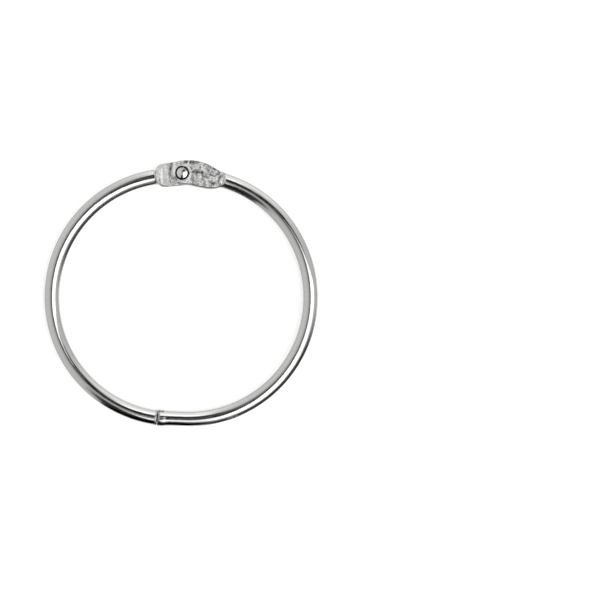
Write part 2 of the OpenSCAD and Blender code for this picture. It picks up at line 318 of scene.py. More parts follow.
def spread(start, end, step):
    """Even stations from start to end, no further apart than the step."""
    return np.linspace(start, end, max(2, int(math.ceil(abs(end - start) / step)) + 1))


def crowd(length, count):
    """Stations from 0 to a length, closer together toward 0: the length times 1 - cosine."""
    return length * (1 - np.cos(np.linspace(0, math.pi / 2, count)))


def section_angles(slot_t, bulge_t):
    """Angles round a section. Their sine is the height on a bulging side as a share of its full
    height, so one of them lies exactly level with the slot's wall on every quarter."""
    level = math.asin(slot_t / bulge_t)
    quarter = np.concatenate([np.linspace(0, level, SIDE_CELLS + 1)[:-1],
                              np.linspace(level, math.pi / 2, TOP_CELLS + 1)])
    half = np.concatenate([quarter, math.pi - quarter[-2::-1]])
    return np.concatenate([half[:-1], half[:-1] + math.pi])


def layout(scene):
    """Every size in millimetres, and the places that follow from them in the row frame. Heights
    are over the ring's middle plane, at z, and bearings are in degrees from +X.

    Each half's middle line leaves its wire at its root, where the arc crosses it. The stub of
    the socket half is tangent to its arc and aimed at the closure."""
    lay = SimpleNamespace(**{name: in_mm(getattr(scene, "binder_ring_" + name))
                             for name in ("wire", "tongue", "fork", "rivet", "closure")})
    lay.hinge, lay.z = np.array(HINGE_AT[:2]), HINGE_AT[2]
    lay.flat_z, lay.wall_z = lay.wire.flat_t / 2, lay.fork.slot_t / 2
    lay.angles = section_angles(lay.fork.slot_t, lay.wire.bulge_t)
    lay.wire_r = lay.wire.wire_d / 2
    lay.arc_r = lay.wire.inside_d / 2 + lay.wire_r - lay.wire.arc_offset
    reach = lay.arc_r + lay.wire.rivet_rise
    low = lay.hinge[1] - math.sqrt(reach ** 2 - (lay.hinge[0] - lay.wire.arc_offset) ** 2)
    for side, flip in ((lay.tongue, -1), (lay.fork, 1)):
        side.flip, side.centre = flip, np.array([flip * lay.wire.arc_offset, low])
        root_x = lay.hinge[0] + flip * side.root
        root_at = np.array([root_x, low + chord(root_x, side.centre[0], lay.arc_r)])
        side.length = float(np.linalg.norm(root_at - lay.hinge))
        side.up = (bearing(lay.hinge, root_at) + 90 * flip) % 360
        side.root_deg = bearing(side.centre, root_at)
    lay.face_deg = -math.degrees(lay.closure.turn)
    lay.closed_at = lay.tongue.centre + lay.arc_r * unit(270 + lay.face_deg)
    lay.pin_deg = bearing(lay.hinge, lay.closed_at) + 90
    far = np.linalg.norm(lay.closed_at - lay.fork.centre)
    lay.stub_l = math.sqrt(far ** 2 - lay.arc_r ** 2)
    lay.stub_deg = (bearing(lay.fork.centre, lay.closed_at)
                    + math.degrees(math.acos(lay.arc_r / far)))
    return lay


# Runs of stations: a half is one skin carried along its wire ---------

# A station's centre, the bearing of its outward side, the reach to its outward and inward edges,
# the height of its uncut section, and its place along the wire
STATION = np.dtype([("centre", float, 2), ("up", float), ("out", float), ("inn", float),
                    ("high", float), ("along", float)])
# The last degrees of the tongue half's arc, which take its rounded rim
END_DEG = 2.2


def run_of(*values):
    """A run of stations, from their values in the order above."""
    run = np.recarray(len(values[-1]), STATION)
    for key, value in zip(STATION.names, values):
        run[key] = value
    return run


def round_run(centre, up, radius, along):
    """A run of round sections."""
    return run_of(centre, up, radius, radius, radius, along)


def hinge_run(lay, side, x, out, inn, high):
    """Stations along a half's middle line, from its tip to its root. The spine is the middle
    line at the rivet and eases over to the wire's own centre line before the root, and so does
    the bearing of the sections."""
    ease_l, blend = 3.2, 0.5
    lean = smooth_step(side.length - ease_l, side.length, x)
    along, outward = unit(side.up - 90 * side.flip), unit(side.up)
    offset = side.centre - lay.hinge
    spine = lean * (offset @ outward + chord(x, offset @ along, lay.arc_r))
    return run_of(lay.hinge + x[:, None] * along + spine[:, None] * outward,
                  side.up + lean * (side.root_deg - side.up),
                  smooth_max(out - spine, lay.wire_r, blend),
                  smooth_max(spine - inn, lay.wire_r, blend), high, x)


def bulge(lay, x, start, end):
    """Height of the uncut section: that of the bulging sides, and from start to end it falls to
    the round wire's."""
    return lay.wire_r + (lay.wire.bulge_t / 2 - lay.wire_r) * (1 - smooth_step(start, end, x))


def arc_run(lay, side, to_deg):
    """Stations of round wire along a half's arc, from its root, where they lie closer, to a
    bearing."""
    length = math.radians(abs(to_deg - side.root_deg)) * lay.arc_r
    near = 1.6
    far = np.concatenate([spread(0, near, 0.1)[1:], spread(near, length, 0.6)[1:]])
    deg = side.root_deg + (to_deg - side.root_deg) * far / length
    return round_run(side.centre + lay.arc_r * unit(deg), deg, lay.wire_r, side.length + far)


def turned_run(lay, start, profile, turn_l, along, sense):
    """A shape turned on the snap pin's axis, from a profile of depth and radius. Its sections
    turn from square to the closed faces to square to the axis."""
    depth, radius = np.array(profile).T
    up = lay.face_deg - 90 + smooth_step(0, turn_l, depth) * (lay.pin_deg - lay.face_deg)
    return round_run(start + depth[:, None] * unit(lay.pin_deg), up, radius, along + sense * depth)


def open_hole(along, q, radius):
    """Moves grid points round the rivet. A point's ring is its greatest count of cells from the
    hole's middle, as a share of the block; the block's own ring lands on the hole's circle, and
    the move fades out over the rings outside it. Points inside the block are not kept."""
    rows = np.abs(np.arange(len(along)) - np.argmin(np.abs(along)))[:, None] / HOLE_ROWS
    around = np.arange(ROUND)
    cols = np.minimum(np.abs(around - QUARTER), np.abs(around - 3 * QUARTER)) / HOLE_COLS
    ring = np.maximum(rows, cols)
    pull = 1 - smooth_step(1.0, 2.6, ring)
    angle = np.arctan2(q, along[:, None])
    return (pull * (radius * ring * np.cos(angle) - along[:, None]),
            q + pull * (radius * ring * np.sin(angle) - q), ring > 1 - 1e-6)


def skin(lay, side, run, rise, end, slant=0.0):
    """Points of a half's skin. At each station the section is a lobe whose reach is out or inn
    times the cosine of the angle, and whose height is high times the sine, cut down with a soft
    edge by the die, whose height rises with the place along and across the half. Round the rivet
    the points are drawn out of a square block onto the hole's circle. The finish holds how matt,
    how rubbed and how stained each point is, where rubbed places also carry painted highlights
    and stains also carry painted shade: flats are matt, and the sides of a pressed end are about
    half as matt. The end is where the bright wire starts, with a slant."""
    cos, sin = np.cos(lay.angles), np.sin(lay.angles)
    x, q, keep = open_hole(run.along, np.where(cos > 0, run.out[:, None], run.inn[:, None]) * cos,
                           side.hole_d / 2)
    lobe = run.high[:, None] * np.abs(sin)
    width = np.maximum(np.maximum(run.out, run.inn), 0.01)[:, None]
    die = rise(lay, run.along[:, None] + x, q) - lay.wire.crown * (q / width) ** 2
    z = np.sign(np.round(sin, 12)) * smooth_min(lobe, die, lay.wire.edge_soft)
    side_matt, fade = 0.6, 0.25
    sides = side_matt * (1 - smooth_step(end - fade, end + fade, run.along[:, None] + slant * q))
    flat = smooth_step(-0.1, 0.35, lobe - die) * smooth_step(0.96, 0.86, np.abs(cos))
    finish = np.zeros((*q.shape, 3))
    finish[..., MATT] = sides + (1 - sides) * flat
    return SimpleNamespace(run=run, flip=side.flip, base=lay.z, x=x, q=q, z=z, keep=keep,
                           finish=finish)


def place(sk):
    """Row-frame points of a skin, in millimetres: each station's centre plus x along the wire,
    q outward and z up."""
    out = unit(sk.run.up)[:, None, :]
    ahead = sk.flip * np.stack([out[..., 1], -out[..., 0]], axis=-1)
    flat = sk.run.centre[:, None, :] + sk.x[..., None] * ahead + sk.q[..., None] * out
    return np.concatenate([flat, (sk.base + sk.z)[..., None]], axis=-1)


def corners(sk):
    """All that a skin's points carry, as nine numbers: their place in the row frame, their place
    along, across and up in the wire, for patterns that follow it, and their finish."""
    in_wire = np.stack([sk.run.along[:, None] + sk.x, sk.q, sk.z], axis=-1)
    return np.concatenate([place(sk), in_wire, sk.finish], axis=-1)


# Wear ----------------------------------------------------------------

def strokes(away, lines, uneven=0.06):
    """How far each point lies in any of some strokes, for points given from the rivet. A stroke
    runs from one place to another, and its strength falls with the distance from it as
    exp(-(d / radius)2). Small waves make its edges uneven."""
    x, y = np.moveaxis(away, -1, 0)
    wave = np.stack([np.sin(7.1 * y + 2.3 * np.sin(3.7 * x)) + 0.6 * np.sin(17.3 * y - 5.9 * x),
                     np.sin(6.3 * x + 2.9 * np.sin(4.1 * y)) + 0.6 * np.sin(15.1 * x + 7.7 * y)], -1)
    line = np.array(lines)
    start, way = line[:, 0:2], line[:, 2:4] - line[:, 0:2]
    at = (away + uneven * wave)[..., None, :] - start
    along = np.clip((at * way).sum(-1) / np.maximum((way ** 2).sum(-1), 1e-9), 0, 1)
    far = np.linalg.norm(at - along[..., None] * way, axis=-1)
    return (line[:, 5] * np.exp(-(far / line[:, 4]) ** 2)).max(axis=-1)


def mark(sk, part, strength):
    """Raises one part of a skin's finish to a strength, where it is lower."""
    sk.finish[..., part] = np.maximum(sk.finish[..., part], strength)


def wear(sk, lay, side, marks, rubs_and_highlights):
    """Pits and residue, painted shade, rubbed places and painted highlights, on the pressed flats.
    The strokes are written for the upper side; the lower side has them mirrored across the half's
    middle line. They fade out down the sides."""
    away, outward = place(sk)[..., :2] - lay.hinge, unit(side.up)
    mirrored = away - 2 * (away @ outward)[..., None] * outward
    away = np.where((sk.z > 0)[..., None], away, mirrored)
    height = np.abs(sk.z)
    height = height / np.maximum(height.max(axis=1, keepdims=True), 0.01)
    flat = smooth_step(0.1, 0.6, sk.finish[..., MATT]) * smooth_step(0.25, 0.65, height)
    # Stains: pits and residue, and painted shade
    mark(sk, STAINED_AND_PAINTED_DARK, flat * strokes(away, marks))
    # Rubs: rubbed places, and painted highlights
    mark(sk, RUBBED_AND_HIGHLIT, flat * strokes(away, rubs_and_highlights))


def dull_rim_and_shaded_lip(sk, end, start):
    """Finish from a station on, where a wire's turned end starts: bright, a little dull on its
    rounded rim, with painted shade on the lip of its flat face that darkens the closure's gap."""
    left = (end.along[-1] - end.along)[:, None]
    rows = slice(start, start + len(end))
    sk.finish[start:] = 0.0
    sk.finish[rows, :, MATT] = 0.5 * (1 - smooth_step(0.25, 0.7, left))
    # Painted shade on the lip, darkening the gap between the closed faces
    sk.finish[rows, :, STAINED_AND_PAINTED_DARK] = 0.7 * (1 - smooth_step(0.07, 0.28, left))


# Meshes --------------------------------------------------------------

def patch(grid, keep=None, wrap=False):
    """A grid patch: its corners and its faces. A face is kept where all of its corners are."""
    rows, cols = grid.shape[:2]
    number = np.pad(np.arange(rows * cols).reshape(rows, cols), ((0, 0), (0, int(wrap))), "wrap")
    faces = np.stack([number[:-1, :-1], number[1:, :-1], number[1:, 1:], number[:-1, 1:]], -1)
    faces = faces.reshape(-1, 4)
    if keep is not None:
        faces = faces[keep.reshape(-1)[faces].all(axis=1)]
    return grid.reshape(rows * cols, -1), faces


def between(start, end, count, matt=0.0, wrap=False):
    """A patch of straight lines from one row of corners to another, in one finish."""
    t = np.linspace(0, 1, count)[:, None, None]
    grid = start * (1 - t) + end * t
    grid[..., 6:] = matt, 0, 0
    return patch(grid, wrap=wrap)


def add_object(name, data):
    """A new object at the scene's origin."""
    made = bpy.data.objects.new(name, data)
    bpy.context.scene.collection.objects.link(made)
    return made


def sew(name, patches):
    """One closed mesh object from patches that meet exactly at their edges: the doubles are
    merged, stray points go, faces are turned outward, and steep edges stay sharp."""
    steep, double = math.radians(38), 2e-7
    start = np.cumsum([0] + [len(grid) for grid, _ in patches])
    grid = np.concatenate([grid for grid, _ in patches])
    faces = np.concatenate([faces + s for (_, faces), s in zip(patches, start)])
    mesh = bpy.data.meshes.new(name)
    mesh.from_pydata((grid[:, :3] * MM).tolist(), [], faces.tolist())
    for key, first in (("wire_place", 3), ("finish", 6)):
        values = grid[:, first:first + 3].astype(np.float32)
        mesh.attributes.new(key, "FLOAT_VECTOR", "POINT").data.foreach_set(
            "vector", values.reshape(-1))
    work = bmesh.new()
    work.from_mesh(mesh)
    bmesh.ops.delete(work, geom=[v for v in work.verts if not v.link_faces], context="VERTS")
    bmesh.ops.remove_doubles(work, verts=work.verts, dist=double)
    bmesh.ops.dissolve_degenerate(work, edges=work.edges, dist=1e-8)
    bmesh.ops.recalc_face_normals(work, faces=work.faces)
    if work.calc_volume(signed=True) < 0:
        bmesh.ops.reverse_faces(work, faces=work.faces)
    open_edges = sum(not edge.is_manifold for edge in work.edges)
    if open_edges:
        print(f"{name}: {open_edges} edges are not closed")
    work.to_mesh(mesh)
    work.free()
    mesh.shade_smooth()
    mesh.set_sharp_from_angle(angle=steep)
    return add_object(name, mesh)


def hole_edge(run, middle):
    """Rows and columns once round the edge of the block of cells that a rivet hole takes: the
    sum of the steps along its four sides, from a corner."""
    i, j = HOLE_ROWS, HOLE_COLS
    step = np.repeat([(1, 0), (0, 1), (-1, 0), (0, -1)], (2 * i, 2 * j, 2 * i, 2 * j), axis=0)
    rows, cols = (np.cumsum(step, axis=0) - step - (i, j)).T
    return np.argmin(np.abs(run.along)) + rows, middle + cols


# The half with the tongue --------------------------------------------

def tongue_half(lay):
    """The half with the tongue, from the tongue's tip along its arc to the snap pin's nose. Its
    outline has slightly tapered sides, a round tip and a round shoulder."""
    s, tip_l = lay.tongue, 0.7
    x = np.concatenate([-s.tip + crowd(tip_l, 14)[:-1], spread(-s.tip + tip_l, 0, 0.1)[:-1],
                        spread(0, s.length, 0.09)])
    straight = s.width / 2 - x * (s.width - s.shoulder_w) / (2 * s.root)
    tip_at, shoulder_at = s.tip_r - s.tip, s.root - s.round_r
    tip = chord(np.minimum(x, tip_at), tip_at, s.tip_r)
    shoulder = chord(np.maximum(x, shoulder_at), shoulder_at, s.round_r)
    half = np.where(x < 0, smooth_min(straight, tip, 0.06), smooth_min(straight, shoulder, 0.4))
    half = np.where(x <= -s.tip + 1e-9, 0.0, half)
    run = hinge_run(lay, s, x, half, -half, bulge(lay, x, s.root - 0.7, s.root + 0.1))
    run.out[x < tip_at] = run.inn[x < tip_at] = half[x < tip_at]
    arc = arc_run(lay, s, 270 + lay.face_deg - END_DEG)
    end = pin_face(lay, arc.along[-1])
    whole = np.concatenate([run, arc, end, snap_pin(lay, end.along[-1])]).view(np.recarray)
    sk = skin(lay, s, whole, tongue_die, s.length - 0.1, 0.15)
    dull_rim_and_shaded_lip(sk, end, len(run) + len(arc))
    wear(sk, lay, s, TONGUE_SHADE_MARKS, TONGUE_RUBS_AND_HIGHLIGHTS)
    grid = corners(sk)
    i, j = hole_edge(whole, QUARTER)
    return sew("tongue_half_visual", [patch(grid, sk.keep, wrap=True),
                                      between(grid[i, j], grid[i, -j], 4, wrap=True)])


def tongue_die(lay, x, q):
    """Height of the tongue's flats: thin over the tongue, an even slope up to the shoulder, a
    short flat crest, and a slope up to the round wire. On the inner side the slope goes by the
    distance from the rivet, and a low sill stands round the ears' corner."""
    s, low, high = lay.tongue, lay.tongue.thick / 2, lay.flat_z
    inner = smooth_step(-0.3, -1.3, q)
    far = np.hypot(x, q)
    up = low + (high - low) / s.hollow_l * (x + inner * (far - x) - s.foot)
    slope = smooth_min(smooth_max(up, low, 0.2), high, 0.15)
    sill = low + s.sill_h * inner * smooth_step(s.sill_r, s.sill_r + 0.1, far)
    end = high + 0.8 * (x + 0.15 * q - s.foot - s.hollow_l - s.crest)
    return np.where(x > 0, np.maximum(smooth_max(slope, end, 0.1), sill), low)


def pin_face(lay, start):
    """The last of the tongue half's round wire, whose rim is rounded off to its flat face by a
    quarter of an ellipse."""
    shut, length = lay.closure, math.radians(END_DEG) * lay.arc_r
    even = np.linspace(length, 0, 14)[1:]
    left = np.concatenate([even[even > 1.15 * shut.face_l], [1.05 * shut.face_l],
                           crowd(shut.face_l, 10)[::-1]])
    deg = 270 + lay.face_deg - np.degrees(left / lay.arc_r)
    radius = lay.wire_r - end_round(left * shut.bevel / shut.face_l, 0, shut.bevel)
    return round_run(lay.tongue.centre + lay.arc_r * unit(deg), deg, radius, start + length - left)


def snap_pin(lay, along):
    """The snap pin: from the middle of the face a grooved neck, a round bulb, a tapered nose and
    a blunt tip."""
    shut = lay.closure
    bulb, tip, end = shut.pin_d / 2, shut.nose_r, shut.pin_l
    neck, groove, step, nose = bulb - shut.groove, shut.groove_l, shut.groove, end - shut.nose
    profile = ((0, 1.2), (0, 1.0), (0, neck + 0.1), (0.05, neck + 0.03), (0.1, neck), (0.3, neck),
               (0.6, neck), (0.9, neck), (groove, neck), (groove + 0.03, neck + 0.03),
               (groove + step, bulb - 0.02), (groove + step + 0.05, bulb), (1.5, bulb),
               (1.65, bulb), (nose - 0.05, bulb), (nose, bulb - 0.015), (nose + 0.08, bulb - 0.06),
               (end - 0.1, tip + 0.07), (end - 0.03, tip + 0.02), (end, tip - 0.04),
               (end, tip / 2), (end, 0))
    return turned_run(lay, lay.closed_at, profile, 0.3, along, 1)


# The half with the fork ----------------------------------------------

def fork_half(lay):
    """The half with the fork, from the ears' cut tips along its arc and stub to the socket."""
    s, shut = lay.fork, lay.closure
    x = np.concatenate([-s.tip + crowd(s.tip_soft, 12)[:-1],
                        spread(-s.tip + s.tip_soft, 0, 0.1)[:-1],
                        spread(0, s.slot_floor, 0.1)[:-1], spread(s.slot_floor, s.length, 0.09)])
    floor = int(np.argmin(np.abs(x - s.slot_floor)))
    run = hinge_run(lay, s, x, *fork_outline(s, x), bulge(lay, x, s.length - 0.8, s.length))
    arc = arc_run(lay, s, lay.stub_deg)
    mouth, socket = mouth_run(lay, arc.along[-1])
    whole = np.concatenate([run, arc, mouth, socket]).view(np.recarray)
    sk = skin(lay, s, whole, fork_die, s.length + 0.05)
    start = len(run) + len(arc)
    dull_rim_and_shaded_lip(sk, mouth, start)
    burr = shut.burr * smooth_step(4.0, 0.6, mouth.along[-1] - mouth.along)
    sk.q[start:start + len(mouth)] += burr[:, None] * np.maximum(np.cos(lay.angles), 0) ** 6
    thin_corner(sk, lay)
    press_dimples(sk, lay)
    wear(sk, lay, s, FORK_PITS, FORK_RUBS_AND_HIGHLIGHTS)
    away = place(sk)[..., :2] - lay.hinge
    mark(sk, MATT, strokes(away, WIRE_SCUFFS))
    # A dark dot on the socket's lip, and painted shade over the dimple and the mouth's upper edge
    mark(sk, STAINED_AND_PAINTED_DARK, strokes(away, SOCKET_DOT_AND_SHADE))
    # Pits and painted shade lie a little deeper than the flat, rubbed places and painted highlights a
    # little higher
    flat = smooth_step(0.0, 0.15, np.abs(sk.z) - lay.wall_z) * (sk.finish[..., MATT] > 0.5)
    depth = s.pit_depth * sk.finish[..., STAINED_AND_PAINTED_DARK] - s.rub_height * sk.finish[..., RUBBED_AND_HIGHLIT]
    sk.z -= np.sign(sk.z) * flat * depth
    # The edges of the ears' outer sheets lie exactly on the slot's walls
    sk.z[:floor + 1, [EAR_FROM, EAR_TO]] = lay.wall_z
    sk.z[:floor + 1, [-EAR_FROM, -EAR_TO]] = -lay.wall_z
    grid = corners(sk)
    # The solid part of the half, behind the slot's floor, all round
    patches = [patch(grid[floor:], wrap=True)]
    i, j = hole_edge(whole, QUARTER - EAR_FROM)
    for turn in (1, -1):
        # One ear: its outer sheet, its wall in the slot, its tip and the bore of its hole
        cols = turn * np.arange(EAR_FROM, EAR_TO + 1) % ROUND
        outer, keep = grid[:floor + 1, cols], sk.keep[:floor + 1, cols]
        wall = outer.copy()
        wall[..., 5], wall[..., 6:] = turn * lay.wall_z, 0
        wall[..., 2] = lay.z + wall[..., 5]
        patches += [patch(outer, keep), patch(wall, keep), between(wall[0], outer[0], 6, 0.5),
                    between(outer[i, j], wall[i, j], 4, wrap=True)]
    return sew("fork_half_visual", patches + [slot_floor(sk, lay, floor)])


def fork_outline(s, x):
    """Places of the fork's outward and inward edges: an arched back, and on the inward side a
    corner under the rivet, a waist, a belly and its round end, each the lower of two with a
    soft join. Both edges are rounded off at the ears' tips, and the inward one draws in toward
    the root."""
    back = s.back_h - s.back_r + chord(x, s.back_top, s.back_r)
    under = chord(np.minimum(x, 0), 0, s.under_r)
    belly = smooth_min(s.belly_h + s.ear_drop * (1 - smooth_step(-1.0, 1.6, x)), under, 0.25)
    end = s.belly_h - s.belly_r + chord(np.maximum(x, s.belly_low), s.belly_low, s.belly_r)
    belly = smooth_min(belly, end, 0.05)
    bend = np.where(x < s.waist_at, s.waist_near_r, s.waist_r)
    waist = s.belly_h - s.waist_depth + bend - chord(x, s.waist_at, bend)
    belly = np.where(np.abs(x - s.waist_at) < 3, smooth_min(belly, waist, 0.12), belly)
    fade = 0.55 * smooth_step(s.length - 0.9, s.length, x)
    corner = end_round(x, -s.tip, s.tip_soft)
    return back - corner, corner + fade - belly


def fork_die(lay, x, q):
    """Height of the fork's flats: level, with a rubbed edge at the ears' tips, and at the root a
    short steep slope up to the round wire."""
    s, steep = lay.fork, 1.3
    slope = lay.flat_z + steep * (x - s.length + 0.03)
    return smooth_max(lay.flat_z - end_round(x, -s.tip, s.tip_edge), slope, 0.1)


def thin_corner(sk, lay):
    """Thins the ears' corner toward the tongue and the ring's middle to a lip, as if ground: from
    the rivet's head on, the height over the slot's wall falls toward the corner. The ground
    corner is as matt as the flats, and takes their paler colour as painted light over the shade
    along its edge."""
    s, toward = lay.fork, (-0.8, -0.6)
    fall = smooth_step(1.45, 2.75, (place(sk)[..., :2] - lay.hinge) @ toward)
    fall[sk.run.along > s.slot_floor] = 0
    over, full = np.maximum(np.abs(sk.z) - lay.wall_z, 0), lay.flat_z - lay.wall_z
    thinned = smooth_min(over, full + (s.lip_t - full) * fall, 0.05)
    sk.z -= np.sign(sk.z) * np.where(fall > 0, over - thinned, 0)
    # Matt, and with it the flats' paler colour: painted light over the shade at the corner's edge
    mark(sk, MATT, smooth_step(0.1, 0.6, fall))


def slot_floor(sk, lay, floor):
    """Floor of the slot: at the floor's station, rows at the heights of the side's own points,
    each spanning from one bulging side to the other."""
    cols, levels = np.arange(EAR_FROM, EAR_TO + 1), np.arange(-EAR_FROM, EAR_FROM + 1)
    run, cos = sk.run[np.full(len(levels), floor)], np.cos(lay.angles[cols])
    reach = np.where(cos > 0, run.out[:, None], run.inn[:, None]) * cos / cos[0]
    q = reach * np.cos(lay.angles[levels])[:, None]
    z = np.broadcast_to((run.high * np.sin(lay.angles[levels]))[:, None], q.shape)
    return patch(corners(SimpleNamespace(
        run=run, flip=sk.flip, base=sk.base, x=np.broadcast_to(sk.x[floor, cols], q.shape),
        q=q, z=z, finish=np.zeros((*q.shape, 3)))))


def mouth_run(lay, start):
    """The straight stub, its slightly swollen mouth with a rounded rim, its face, and the bore
    inside it down to a blunt cone. The sections turn from square to the stub to square to the
    face, and then to square to the bore."""
    shut, away_l = lay.closure, 2.6
    length = lay.stub_l - shut.gap
    foot = lay.fork.centre + lay.arc_r * unit(lay.stub_deg)
    away = np.concatenate([spread(length, away_l, 0.5)[1:], spread(away_l, shut.mouth_l, 0.06)[1:],
                           crowd(shut.mouth_l, 16)[-2::-1]])
    radius = (lay.wire_r + shut.swell * (1 - smooth_step(0.4, 2.4, away))
              - end_round(away * shut.bevel / shut.mouth_l, 0, shut.bevel))
    up = lay.stub_deg + (lay.face_deg - 90 - lay.stub_deg) * smooth_step(3.2, 0.0, away)
    wall = round_run(foot + (length - away)[:, None] * unit(lay.stub_deg - 90), up, radius,
                     start + length - away)
    bore, sink = shut.pin_d / 2 + shut.clearance, shut.bevel
    deep = shut.pin_l + shut.clearance
    profile = ((0, bore + sink + 0.12), (0, bore + sink + 0.02), (0.03, bore + sink - 0.03),
               (sink, bore + 0.02), (sink + 0.04, bore), (0.6, bore), (1.2, bore), (1.8, bore),
               (deep - 0.04, bore), (deep, bore - 0.04), (deep + 0.1, bore / 2),
               (deep + 0.15, 0))
    face_at = lay.closed_at + shut.gap * unit(lay.face_deg)
    return wall, turned_run(lay, face_at, profile, 0.4, start + length, -1)


def press_dimples(sk, lay):
    """Two crimp dimples, above and below the socket: a ball pressed into the wire, so the height
    is the lower of the wire's and the ball's, with a soft rim. The bore keeps its shape."""
    shut = lay.closure
    ball = (shut.dimple_d ** 2 / 4 + shut.dimple_depth ** 2) / (2 * shut.dimple_depth)
    middle = lay.closed_at + (shut.gap + shut.dimple_at) * unit(lay.pin_deg)
    away = np.linalg.norm(place(sk)[..., :2] - middle, axis=-1)
    under = lay.wire_r + shut.swell * 0.8 + ball - shut.dimple_depth - chord(away, 0, ball)
    on_wire = (away < shut.dimple_d) & (sk.run.out > 0.8 * lay.wire_r)[:, None]
    pressed = np.sign(sk.z) * smooth_min(np.abs(sk.z), under, 0.03)
    sk.z = np.where(on_wire, pressed, sk.z)


# The rivet -----------------------------------------------------------

def rivet(lay):
    """The rivet: a profile of radius and height turned round the hinge's axis. Each head is a low
    cone with a soft tip, a hyperbola, inside a steep rim."""
    s, flat, around = lay.rivet, lay.flat_z, 96
    cone_r = s.head_d / 2 - s.rim_w
    r = cone_r * np.sin(np.linspace(0, math.pi / 2, 30))
    cone = np.hypot(r, s.tip_soft) - s.tip_soft
    dome = flat + s.rim_h + (s.head_h - s.rim_h) * (1 - cone / cone[-1])
    fall = np.linspace(0, 1, 9)[1:]
    r = np.concatenate([r, cone_r + s.rim_w * fall,
                        [s.head_d / 2 - 0.03, s.shank_d / 2, s.shank_d / 2]])
    z = np.concatenate([dome, flat + s.rim_h * (1 - fall), [flat, flat, 0.0]])
    r, z = np.concatenate([r, r[-2::-1]]), np.concatenate([z, -z[-2::-1]])
    away = r[:, None, None] * unit(np.linspace(0, 360, around, endpoint=False))
    inside = np.concatenate([away, np.broadcast_to(z[:, None, None], (len(z), around, 1))], -1)
    finish = np.zeros_like(inside)
    # Each head's painted reflection: a dark streak held in the stain, mirrored for the lower head
    finish[..., STAINED_AND_PAINTED_DARK] = np.where(z[:, None] > 0, strokes(away, HEAD_REFLECTION_MARKS, 0.015),
                                    strokes(away * (1, -1), HEAD_REFLECTION_MARKS, 0.015))
    grid = np.concatenate([inside + (*lay.hinge, lay.z), inside, finish], -1)
    return sew("rivet_visual", [patch(grid, wrap=True)])


# Materials -----------------------------------------------------------

# Setting of a Map Range node that eases from one value to the other
EASED = {"interpolation_type": "SMOOTHSTEP"}


def add_node(tree, kind, *values, out=None, **named):
    """Adds a shader node and gives its output of a name, or else its first. The values are set
    on its inputs, or linked to them, in order. A name in small letters is one of its settings,
    and any other an input, with _ for a space."""
    node = tree.nodes.new("ShaderNode" + kind)
    for key, value in named.items():
        if key.islower():
            setattr(node, key, value)
    shown = [socket for socket in node.inputs if socket.enabled]
    inputs = [(node.inputs[key.replace("_", " ")], value) for key, value in named.items()
              if not key.islower()]
    for socket, value in [*zip(shown, values), *inputs]:
        if isinstance(value, bpy.types.NodeSocket):
            tree.links.new(value, socket)
        else:
            socket.default_value = value
    return next((socket for socket in node.outputs
                 if socket.enabled and out in (None, socket.name)), None)


def new_material(name):
    """An empty node material and its tree."""
    material = bpy.data.materials.new(name)
    material.use_nodes = True
    material.node_tree.nodes.clear()
    return material, material.node_tree


